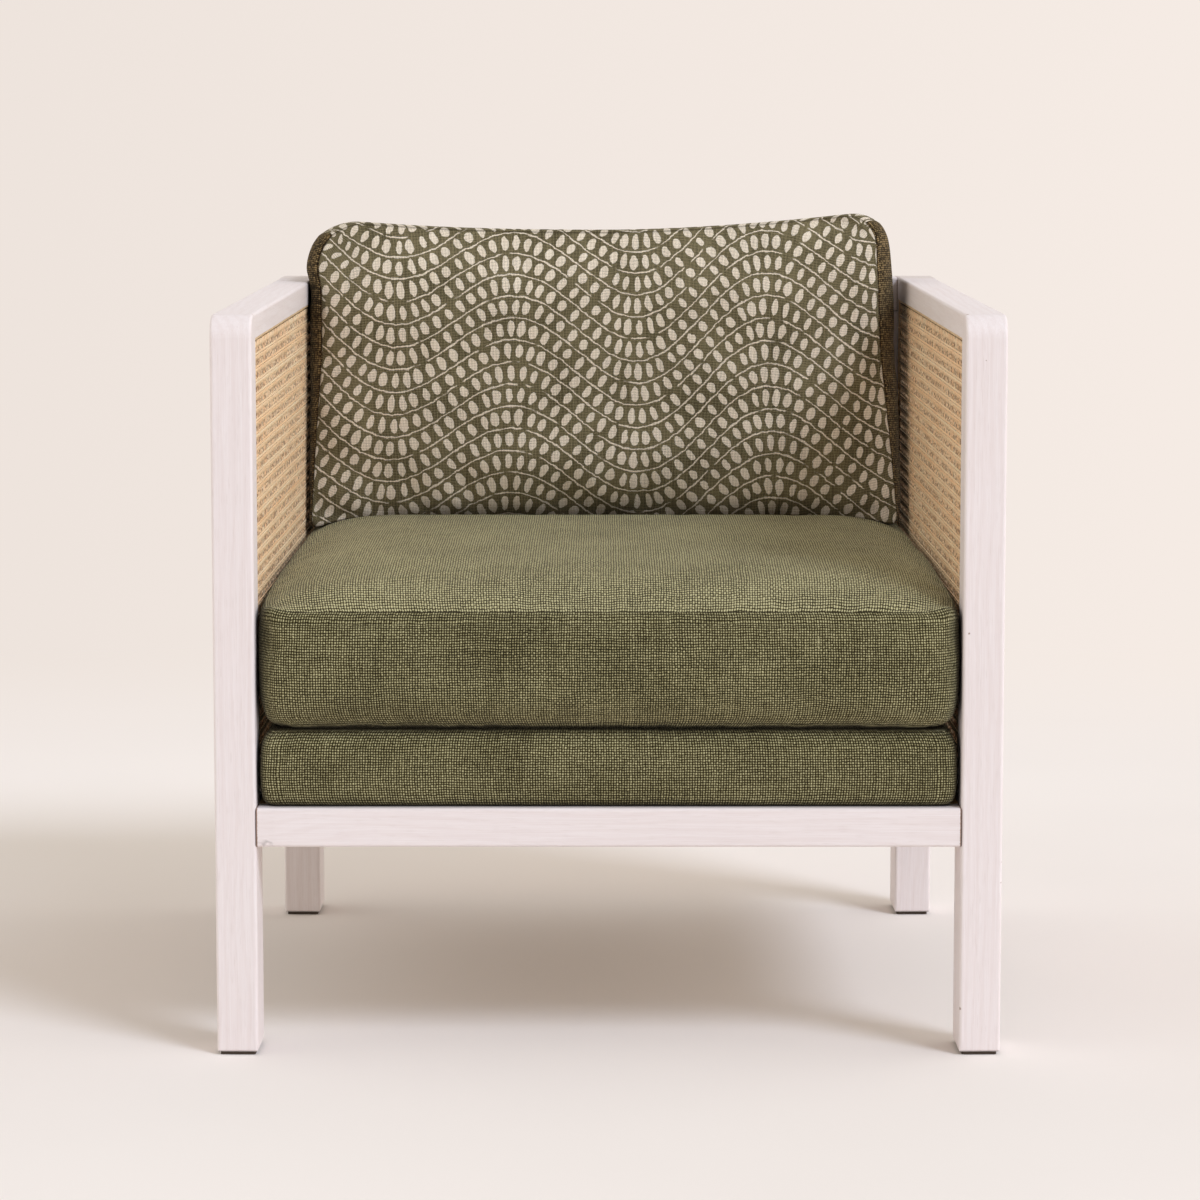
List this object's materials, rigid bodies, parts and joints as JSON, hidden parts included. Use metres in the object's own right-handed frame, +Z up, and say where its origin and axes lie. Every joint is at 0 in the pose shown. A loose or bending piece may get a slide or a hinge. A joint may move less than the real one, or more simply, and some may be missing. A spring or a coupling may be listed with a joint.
{
  "type": "lounge chair",
  "caption": "Open-frame lounge chair: whitewashed timber posts and arms, woven cane sides and back, upholstered base pad and loose seat and back cushions.",
  "frame": {"origin": "on the floor under the centre of the chair's bounding box", "axes": "+Z up, the front of the chair faces -Y, +X to the right as seen from the front"},
  "size_m": [0.7598, 0.7506, 0.7827],
  "materials": {
    "frame_timber": "satin",
    "deck_timber": "matte",
    "dowel_timber": "matte",
    "cane": "satin",
    "reed": "satin",
    "screw_steel": "satin",
    "foot_pad": "matte",
    "webbing": "matte",
    "foam": "matte",
    "base_fabric": "matte",
    "seat_fabric": "matte",
    "back_fabric": "matte",
    "dust_cloth": "matte",
    "zip": "matte"
  },
  "bodies": {
    "frame": {"front_post_left": "frame_timber", "front_post_right": "frame_timber", "rear_post_left": "frame_timber", "rear_post_right": "frame_timber", "arm_rail_left": "frame_timber", "arm_rail_right": "frame_timber", "side_seat_rail_left": "frame_timber", "side_seat_rail_right": "frame_timber", "front_seat_rail": "frame_timber", "rear_seat_rail": "frame_timber", "back_top_rail": "frame_timber", "back_stile_left": "frame_timber", "back_stile_right": "frame_timber", "cane_panel_left": "cane", "cane_panel_right": "cane", "cane_panel_back": "cane", "reed_spline_left": "reed", "reed_spline_right": "reed", "reed_spline_back": "reed", "side_frame_dowels": "dowel_timber", "cross_rail_dowels": "dowel_timber", "corner_blocks": "deck_timber", "corner_block_screws": "screw_steel", "deck_screws": "screw_steel", "foot_pads": "foot_pad", "deck_batten_front": "deck_timber", "deck_batten_rear": "deck_timber", "deck_batten_left": "deck_timber", "deck_batten_right": "deck_timber", "deck_straps_lengthwise": "webbing", "deck_straps_crosswise": "webbing", "deck_foam": "foam", "base_cover": "base_fabric", "dust_cover": "dust_cloth"},
    "seat_cushion": {"seat_cushion_cover": "seat_fabric", "seat_cushion_core": "foam", "seat_cushion_zip": "zip"},
    "back_cushion": {"back_cushion_cover": "back_fabric", "back_cushion_core": "foam", "back_cushion_zip": "zip"}
  },
  "joints": [
    {"name": "seat_cushion_lift", "type": "slide", "parent": "frame", "child": "seat_cushion", "axis": [0, 0, 1], "range_m": [0, 0.45]},
    {"name": "back_cushion_lift", "type": "slide", "parent": "seat_cushion", "child": "back_cushion", "axis": [0, 0, 1], "range_m": [0, 0.35]}
  ]
}
